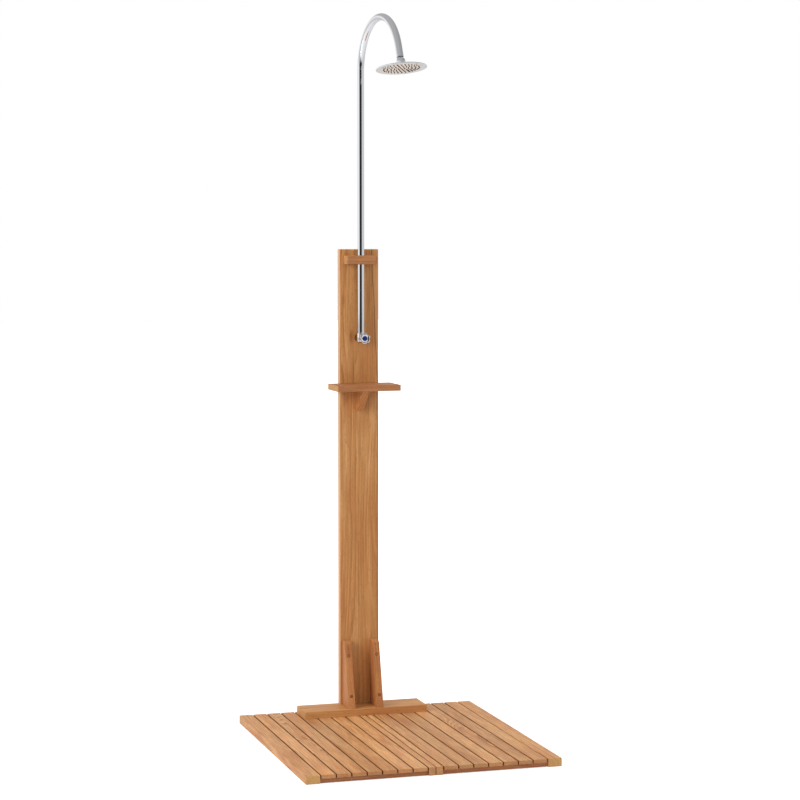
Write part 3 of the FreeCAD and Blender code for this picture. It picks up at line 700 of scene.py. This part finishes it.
def knobLobe(radius, height, turn):
    # the rim swells in rounded lobes with tighter hollows between; the hub stays round
    grip = max(0.0, min(1.0, (radius - hub) / (rim - hub)))
    wave = 0.5 + 0.5 * math.cos(knob["lobes"] * (turn + math.radians(knob["turnDeg"])))
    hollow = (1 - wave) ** 1.5
    return radius - knob["biteMm"] * hollow * grip ** 1.5


# back and hub, rim, dished face, and the seat of the cap
backRound = knob["backRoundMm"]
faceRound = knob["faceRoundMm"]
knobProfile = [(knob["stemMm"], 0.0), (hub - 0.8, 0.0), (hub, 0.8), (hub, hubDepth - 0.6),
               (hub + 0.5, hubDepth), (rim - 4.5, hubDepth + 0.9)]
knobProfile += arcPoints(rim - backRound, hubDepth + 4.2, backRound, -75, 0, 7)
knobProfile += arcPoints(rim - faceRound, face - faceRound, faceRound, 0, 80, 9)
knobProfile += [(11.5, face - 0.35), (9.2, face - 0.9), (cap + 0.9, face - 0.4), (cap + 0.3, face - 0.35)]
knobProfile += [(cap + 0.05, face - 0.7), (cap + 0.05, face - knob["capSinkMm"]),
                (0.05, face - knob["capSinkMm"])]
addPiece("tapKnob", turnedMesh("tapKnob", knobProfile, knobPlace, 144, knobLobe), chrome, "tap",
         stands=("tap_knob",))
capProfile = [(cap, face - 1.6), (cap, face + 0.1)] + arcPoints(cap - 0.5, face + 0.1, 0.5, 0, 80, 4)
capProfile += [(cap * s, face + 0.6 + 0.2 * (1 - s * s)) for s in (0.8, 0.6, 0.4, 0.2, 0.02)]
addPiece("indexCap", turnedMesh("indexCap", capProfile, knobPlace, 64), blueCap, "tap",
         stands=("index_cap",))
print("knob turned")


# ball joint

ball = {
    "radiusMm": 7.5, "stemMm": 4.0, "dropMm": 15.0, "flangeMm": 1.9, "flangeRadiusMm": 11.0,
    "flangeRoundMm": 0.7, "cutMm": 3.0,
}
ballCentre = Vector(joints["head_tilt"]["pos_m"])
stemMeet = math.degrees(math.acos(ball["stemMm"] / ball["radiusMm"]))
cutMeet = -math.degrees(math.asin(ball["cutMm"] / ball["radiusMm"]))
drop = ball["dropMm"]
flange = ball["flangeRadiusMm"]
flangeRound = ball["flangeRoundMm"]
flangeFoot = drop - ball["flangeMm"]
ballProfile = [(0.05, -ball["cutMm"])] + arcPoints(0, 0, ball["radiusMm"], cutMeet, stemMeet, 24)
ballProfile += [(ball["stemMm"], flangeFoot - 0.6), (ball["stemMm"] + 0.6, flangeFoot)]
ballProfile += arcPoints(flange - flangeRound, flangeFoot + flangeRound, flangeRound, -90, 0, 4)
ballProfile += arcPoints(flange - 0.3, drop - 0.3, 0.3, 0, 90, 3) + [(0.05, drop)]
addPiece("ballConnector", turnedMesh("ballConnector", ballProfile, placeAlong(ballCentre, -neckWay), 72),
         chrome, "stand", stands=("ball_connector",))

# rain head, turned about the ball and tipped as a whole

head = {
    "radiusMm": 76.0, "tiltDeg": 9.8, "headingDeg": 12.0, "rimMm": 3.0, "dropMm": 22.0, "crownMm": 7.0,
    "swellMm": 0.9, "bossMm": 11.0, "flareMm": 7.0, "nutMm": 13.75, "nutSkirtMm": 6.5, "nutMouthDeg": 50.0,
    "nutBoreMm": 7.4, "nutGrooveMm": 0.5, "plateInsetMm": 2.0, "beadMm": 59.5, "sides": 160,
    "nozzleRings": 5, "nozzlePitchMm": 10.6, "nozzleBaseMm": 1.8, "nozzleTipMm": 1.1, "nozzleProudMm": 1.6,
}
heading = math.radians(head["headingDeg"])
tipAxis = Vector((math.cos(heading), math.sin(heading), 0))
headPlace = Matrix.Translation(ballCentre) @ Matrix.Rotation(-math.radians(head["tiltDeg"]), 4, tipAxis)
rimUnder = -head["dropMm"]
rimTop = rimUnder + head["rimMm"]
crownTop = rimTop + head["crownMm"]
boss = head["bossMm"]

# the nut's mouth closes over the ball
nut = head["nutMm"]
nutFoot = -head["nutSkirtMm"]
grooved = nut - head["nutGrooveMm"]
mouthArc = arcPoints(0, 0, nut, 0, 90 - head["nutMouthDeg"], 12)
nutProfile = [(head["nutBoreMm"] - 1.2, 5.2), (head["nutBoreMm"], 6.2)] + list(reversed(mouthArc))
nutProfile += [(nut, -1.6), (grooved, -2.0), (grooved, -2.6), (nut, -3.0)]
nutProfile += arcPoints(nut - 0.6, nutFoot + 0.6, 0.6, 0, -90, 4) + [(boss, nutFoot)]
addPiece("swivelNut", turnedMesh("swivelNut", nutProfile, headPlace, 96), chrome, "head",
         stands=("swivel_nut",))

# shell: a boss that flares into a slope, a little swollen, down to a thin rim
headRadius = head["radiusMm"]
bossFlare = arcPoints(boss + head["flareMm"], crownTop + 3.4, head["flareMm"], 180, 247, 8)
shellProfile = [(boss, nutFoot + 1)] + bossFlare
slopeStart, slopeTop = bossFlare[-1]
slopeSteps = 14
for step in range(1, slopeSteps + 1):
    share = step / slopeSteps
    reach = slopeStart + (headRadius - 1.2 - slopeStart) * share
    fall = (slopeTop - rimTop) * (1 - share)
    shellProfile.append((reach, rimTop + fall + head["swellMm"] * math.sin(math.pi * share)))
shellProfile += arcPoints(headRadius - 1.2, rimTop - 1.2, 1.2, 85, 0, 6)
shellProfile += arcPoints(headRadius - 0.8, rimUnder + 0.8, 0.8, 0, -90, 5)
plateEdge = headRadius - head["plateInsetMm"]
shellProfile += [(plateEdge + 0.25, rimUnder), (plateEdge + 0.1, rimUnder + 0.5)]
addPiece("headShell", turnedMesh("headShell", shellProfile, headPlace, head["sides"]), chrome, "head",
         stands=("head_shell",))

# face plate with one shallow ring groove outside the nozzles
bead = head["beadMm"]
plateProfile = [(plateEdge, rimUnder + 0.9), (plateEdge, rimUnder + 0.2), (plateEdge - 0.2, rimUnder),
                (bead + 0.7, rimUnder), (bead + 0.3, rimUnder + 0.25), (bead - 0.3, rimUnder + 0.25),
                (bead - 0.7, rimUnder), (0.05, rimUnder)]
addPiece("facePlate", turnedMesh("facePlate", plateProfile, headPlace, head["sides"]), headSteel, "head",
         stands=("face_plate",))


def nozzleMesh(offset):
    # a short cone with a collar at its foot and a hole in its tip
    place = headPlace @ Matrix.Translation(offset * mm)
    base = head["nozzleBaseMm"]
    tip = head["nozzleTipMm"]
    proud = head["nozzleProudMm"]
    profile = [(base + 0.35, 0.0), (base, -0.25), (base - 0.15, -0.5), (tip + 0.15, -proud + 0.25),
               (tip - 0.1, -proud), (0.55, -proud), (0.45, -proud + 0.5), (0.02, -proud + 0.5)]
    return turnedMesh("nozzle", profile, place, 14)


nozzleOffsets = [Vector((0, 0, rimUnder))]
for ring in range(1, head["nozzleRings"] + 1):
    for step in range(6 * ring):
        turn = math.radians(60.0 * step / ring)
        reach = ring * head["nozzlePitchMm"]
        nozzleOffsets.append(Vector((reach * math.cos(turn), reach * math.sin(turn), rimUnder)))
nozzleMeshes = [nozzleMesh(offset) for offset in nozzleOffsets]
addPiece("nozzles", gathered("nozzles", nozzleMeshes), silicone, "head",
         stands=("nozzles",))
print("rain head made")


# teak plugs over the screws

plugs = {"radiusMm": 5.0, "proudMm": 0.15, "sinkMm": 1.2, "glueMm": 0.9, "gussetTopMm": 27.0}


def plugMesh(centre, outward):
    radius = plugs["radiusMm"]
    proud = plugs["proudMm"]
    wood = radius - plugs["glueMm"]
    profile = [(radius, -plugs["sinkMm"]), (radius, proud - 0.12), (radius - 0.15, proud - 0.05),
               (wood, proud - 0.05), (wood - 0.1, proud), (0.02, proud)]
    mesh = turnedMesh("plug", profile, placeAlong(centre, outward), 40)
    for polygon in mesh.polygons:
        # the faces outside the wood are the line of glue and dust round the plug
        nearest = min((mesh.vertices[i].co - centre).length for i in polygon.vertices)
        if nearest > (wood - 0.05) * mm:
            polygon.material_index = 1
    return mesh


def screwMiddles(name):
    # middle of each screw in a node, from its loose pieces
    bm = bmesh.new()
    bm.from_mesh(nodes[name].data)
    bmesh.ops.remove_doubles(bm, verts=bm.verts, dist=weldM)
    left = set(bm.verts)
    boxes = []
    while left:
        front = [left.pop()]
        group = list(front)
        while front:
            vert = front.pop()
            for link in vert.link_edges:
                other = link.other_vert(vert)
                if other in left:
                    left.remove(other)
                    front.append(other)
                    group.append(other)
        low = Vector([min(v.co[i] for v in group) for i in range(3)])
        high = Vector([max(v.co[i] for v in group) for i in range(3)])
        boxes.append((low, high))
    bm.free()
    boxes.sort(key=lambda box: (round(box[0].z, 4), round(box[0].x, 4)))
    return [(low + high) / 2 for low, high in boxes]


# the gussets' plugs lie square to their sloping fronts, the others on the post's back
gussetLow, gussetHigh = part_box("gusset_left")
gussetFootDepth = postFront - gussetLow.y
slopeFall = (plugs["gussetTopMm"] * mm - gussetFootDepth) / (gussetHigh.z - gussetLow.z)
slopeOut = Vector((0, -1, -slopeFall)).normalized()
plugMeshes = []
for middle in screwMiddles("gusset_screws"):
    depth = gussetFootDepth + slopeFall * (middle.z - gussetLow.z)
    plugMeshes.append(plugMesh(Vector((middle.x, postFront - depth, middle.z)), slopeOut))
for middle in screwMiddles("shelf_screws") + screwMiddles("clamp_screws"):
    plugMeshes.append(plugMesh(Vector((middle.x, postBack, middle.z)), backward))
screwPlugs = addPiece("screwPlugs", gathered("screwPlugs", plugMeshes), plugWood, "stand")
screwPlugs.data.materials.append(glueLine)
print("plugs set")


# studio walls: pale in mirrors, with a dark room low behind the camera, which is the pipe's dark stripe

studio = {
    "fill": 0.62, "ceiling": 0.5, "ceilingFrom": (0.08, 0.45), "rightWay": (0.957, -0.29, 0.0),
    "rightFrom": (-0.2, 0.9), "right": 0.72, "roomWay": (-0.31, -0.951, 0.0), "roomFrom": (0.72, 0.86),
    "roomTopFrom": (0.11, 0.2), "roomDark": 0.03,
}
scene = bpy.context.scene
scene.view_settings.view_transform = "Standard"
world = bpy.data.worlds.new("studio")
scene.world = world
world.use_nodes = True
skyTree = world.node_tree
background = skyTree.nodes["Background"]
skyPath = addNode(skyTree, "LightPath").outputs
skyWay = addNode(skyTree, "TexCoord").outputs["Generated"]
skyHeight = addNode(skyTree, "SeparateXYZ", links={0: skyWay}).outputs[2]
roomAngle = addNode(skyTree, "VectorMath", {"operation": "DOT_PRODUCT", 1: studio["roomWay"]}, {0: skyWay})
roomSide = addNode(skyTree, "MapRange", dict(smooth, span=(*studio["roomFrom"], 1.0, studio["roomDark"])),
                   {"Value": roomAngle.outputs["Value"]})
roomTop = addNode(skyTree, "MapRange", dict(smooth, span=(*studio["roomTopFrom"], 0.0, 1.0)),
                  {"Value": skyHeight})
roomPart = addNode(skyTree, "MapRange", {"span": (0.0, 1.0, studio["roomDark"], 1.0)}, {"Value": roomTop})
room = addNode(skyTree, "Math", {"operation": "MAXIMUM"}, {0: roomSide, 1: roomPart})
rightAngle = addNode(skyTree, "VectorMath", {"operation": "DOT_PRODUCT", 1: studio["rightWay"]}, {0: skyWay})
rightWall = addNode(skyTree, "MapRange", {"span": (*studio["rightFrom"], 1.0, studio["right"])},
                    {"Value": rightAngle.outputs["Value"]})
ceiling = addNode(skyTree, "MapRange", dict(smooth, span=(*studio["ceilingFrom"], 1.0, studio["ceiling"])),
                  {"Value": skyHeight})
walls = addNode(skyTree, "Math", {"operation": "MULTIPLY"}, {0: room, 1: rightWall})
mirrored = addNode(skyTree, "Math", {"operation": "MULTIPLY"}, {0: walls, 1: ceiling})
# the fill lights the object, mirrors see the walls, and the camera sees white
lit = addNode(skyTree, "Mix", {"data_type": "FLOAT", numberUnder: studio["fill"]},
              {mixPart: skyPath["Is Glossy Ray"], numberOver: mirrored})
clear = addNode(skyTree, "Math", {"operation": "MAXIMUM"},
                {0: skyPath["Is Camera Ray"], 1: skyPath["Is Transmission Ray"]})
strength = addNode(skyTree, "Mix", {"data_type": "FLOAT", numberOver: 1.0},
                   {mixPart: clear, numberUnder: lit})
background.inputs["Color"].default_value = (1, 1, 1, 1)
skyTree.links.new(strength.outputs[0], background.inputs["Strength"])
print("walls lit")


# pale painted floor: dull, with the object's shadow near it, and white to the camera further out

ground = {
    "halfM": 30.0, "dropM": 0.0005, "colour": "#EDEDED", "glow": (0.5, 1.0), "glowFromM": (1.1, 3.6),
    "mirroredGlow": 0.12, "roomCode": "#0B0B0B", "roomFromM": (3.5, 7.0), "trayInsetM": 0.03,
    "paintedBounceUnderTray": "#9A6238",
}
half = ground["halfM"]
corners = [(-half, -half, 0), (half, -half, 0), (half, half, 0), (-half, half, 0)]
floorMesh = bpy.data.meshes.new("floor")
floorMesh.from_pydata(corners, [], [(0, 1, 2, 3)])
floor = bpy.data.objects.new("floor", floorMesh)
scene.collection.objects.link(floor)
floor.location.z = -ground["dropM"]
floorSettings = {"Roughness": 0.9, "Specular IOR Level": 0.2}
floorPaint, floorTree, floorShader = newMaterial("palePaintedFloor", floorSettings)
floorPath = addNode(floorTree, "LightPath").outputs
floorPlace = addNode(floorTree, "TexCoord").outputs["Object"]
floorReach = addNode(floorTree, "VectorMath", {"operation": "LENGTH"}, {0: floorPlace})
spread = addNode(floorTree, "MapRange", {"span": (*ground["glowFromM"], *ground["glow"])},
                 {"Value": floorReach.outputs["Value"]})
# the floor of the dark room is dark in mirrors too, and the rest of it glows a little in them
floorAway = addNode(floorTree, "VectorMath", {"operation": "SUBTRACT", 1: (0.0, pipeFoot.y, 0.0)},
                    {0: floorPlace})
floorWay = addNode(floorTree, "VectorMath", {"operation": "NORMALIZE"}, {0: floorAway})
floorAngle = addNode(floorTree, "VectorMath", {"operation": "DOT_PRODUCT", 1: studio["roomWay"]},
                     {0: floorWay})
floorRoom = addNode(floorTree, "MapRange", dict(smooth, span=(*studio["roomFrom"], 0.0, 1.0)),
                    {"Value": floorAngle.outputs["Value"]})
floorFar = addNode(floorTree, "MapRange", {"span": (*ground["roomFromM"], 0.0, 1.0)},
                   {"Value": floorReach.outputs["Value"]})
floorFront = addNode(floorTree, "Math", {"operation": "MULTIPLY"}, {0: floorRoom, 1: floorFar})
floorDark = addNode(floorTree, "Math", {"operation": "MULTIPLY"},
                    {0: floorPath["Is Glossy Ray"], 1: floorFront})
floorTone = addNode(floorTree, "Mix", {"data_type": "RGBA", mixUnder: hexColour(ground["colour"]),
                                       mixOver: hexColour(ground["roomCode"])}, {mixPart: floorDark})
floorSeen = addNode(floorTree, "Math", {"operation": "MAXIMUM"},
                    {0: floorPath["Is Camera Ray"], 1: floorPath["Is Transmission Ray"]})
floorMirrored = addNode(floorTree, "Math", {"operation": "SUBTRACT"},
                        {0: floorPath["Is Glossy Ray"], 1: floorDark})
floorShown = addNode(floorTree, "Math", {"operation": "MULTIPLY_ADD", 1: ground["mirroredGlow"]},
                     {0: floorMirrored, 2: floorSeen})
# under the tray it doesn't glow, and a painted brown stands for the light that the wood above bounces onto
# it
trayMiddle = [(low + high) / 2 for low, high in zip(*cadBox)]
trayHalf = [(high - low) / 2 - ground["trayInsetM"] for low, high in zip(*cadBox)]
fromMiddle = addNode(floorTree, "VectorMath", {"operation": "SUBTRACT", 1: (*trayMiddle[:2], 0.0)},
                     {0: floorPlace})
outFrom = addNode(floorTree, "VectorMath", {"operation": "ABSOLUTE"}, {0: fromMiddle})
outOf = addNode(floorTree, "VectorMath", {"operation": "SUBTRACT", 1: (*trayHalf[:2], 0.0)}, {0: outFrom})
outSplit = addNode(floorTree, "SeparateXYZ", links={0: outOf})
outMost = addNode(floorTree, "Math", {"operation": "MAXIMUM"},
                  {0: outSplit.outputs[0], 1: outSplit.outputs[1]})
outside = addNode(floorTree, "MapRange", {"span": (0.0, ground["trayInsetM"], 0.0, 1.0)}, {"Value": outMost})
# painted bounce light: the floor under the tray is tinted brown
paintedBounceFloor = addNode(floorTree, "Mix", {"data_type": "RGBA", mixUnder: hexColour(ground["paintedBounceUnderTray"])},
                      {mixPart: outside, mixOver: floorTone.outputs[mixed]})
floorTree.links.new(paintedBounceFloor.outputs[mixed], floorShader.inputs["Base Color"])
openGlow = addNode(floorTree, "Math", {"operation": "MULTIPLY"}, {0: spread, 1: outside})
floorGlow = addNode(floorTree, "Math", {"operation": "MULTIPLY"}, {0: floorShown, 1: openGlow})
floorShader.inputs["Emission Color"].default_value = (1, 1, 1, 1)
floorTree.links.new(floorGlow.outputs[0], floorShader.inputs["Emission Strength"])
floorMesh.materials.append(floorPaint)
print("floor laid")


# round soft lamps, which mirrors don't show

lamps = {
    "keyLeft": {"placeM": (-4.4, -1.5, 2.6), "targetM": (0, 0.2, 0.9), "watts": 135.0, "sizeM": 2.4},
    "topSoft": {"placeM": (0.5, 0.4, 5.2), "targetM": (0, 0.1, 0), "watts": 68.0, "sizeM": 2.6},
    "frontFill": {"placeM": (1.2, -6.0, 2.2), "targetM": (0, 0.2, 1.0), "watts": 24.0, "sizeM": 2.0},
}
for name, setup in lamps.items():
    lamp = bpy.data.lights.new(name, "AREA")
    lamp.shape = "DISK"
    lamp.size = setup["sizeM"]
    lamp.energy = setup["watts"]
    holder = bpy.data.objects.new(name, lamp)
    scene.collection.objects.link(holder)
    holder.visible_glossy = False
    holder.location = setup["placeM"]
    toTarget = Vector(setup["targetM"]) - Vector(setup["placeM"])
    holder.rotation_euler = toTarget.to_track_quat("-Z", "Y").to_euler()
print("lamps hung")


# camera fitted to the photograph, whose frame is 800 pixels wide

view = {
    "placeM": (-1.9282, -6.4019, 1.5328), "yawRad": 0.2955, "pitchRad": 0.0625, "focalPx": 2271.35,
    "framePx": 800.0, "upPx": 30.0, "sensorMm": 36.0,
}
camera = bpy.data.cameras.new("camera")
camera.sensor_width = view["sensorMm"]
camera.lens = view["focalPx"] / view["framePx"] * view["sensorMm"]
camera.shift_y = -view["upPx"] / view["framePx"]
cameraHolder = bpy.data.objects.new("camera", camera)
scene.collection.objects.link(cameraHolder)
yaw = view["yawRad"]
pitch = view["pitchRad"]
viewWay = Vector((math.sin(yaw) * math.cos(pitch), math.cos(yaw) * math.cos(pitch), -math.sin(pitch)))
cameraHolder.location = view["placeM"]
cameraHolder.rotation_euler = viewWay.to_track_quat("-Z", "Y").to_euler()
scene.camera = cameraHolder
print("camera set")
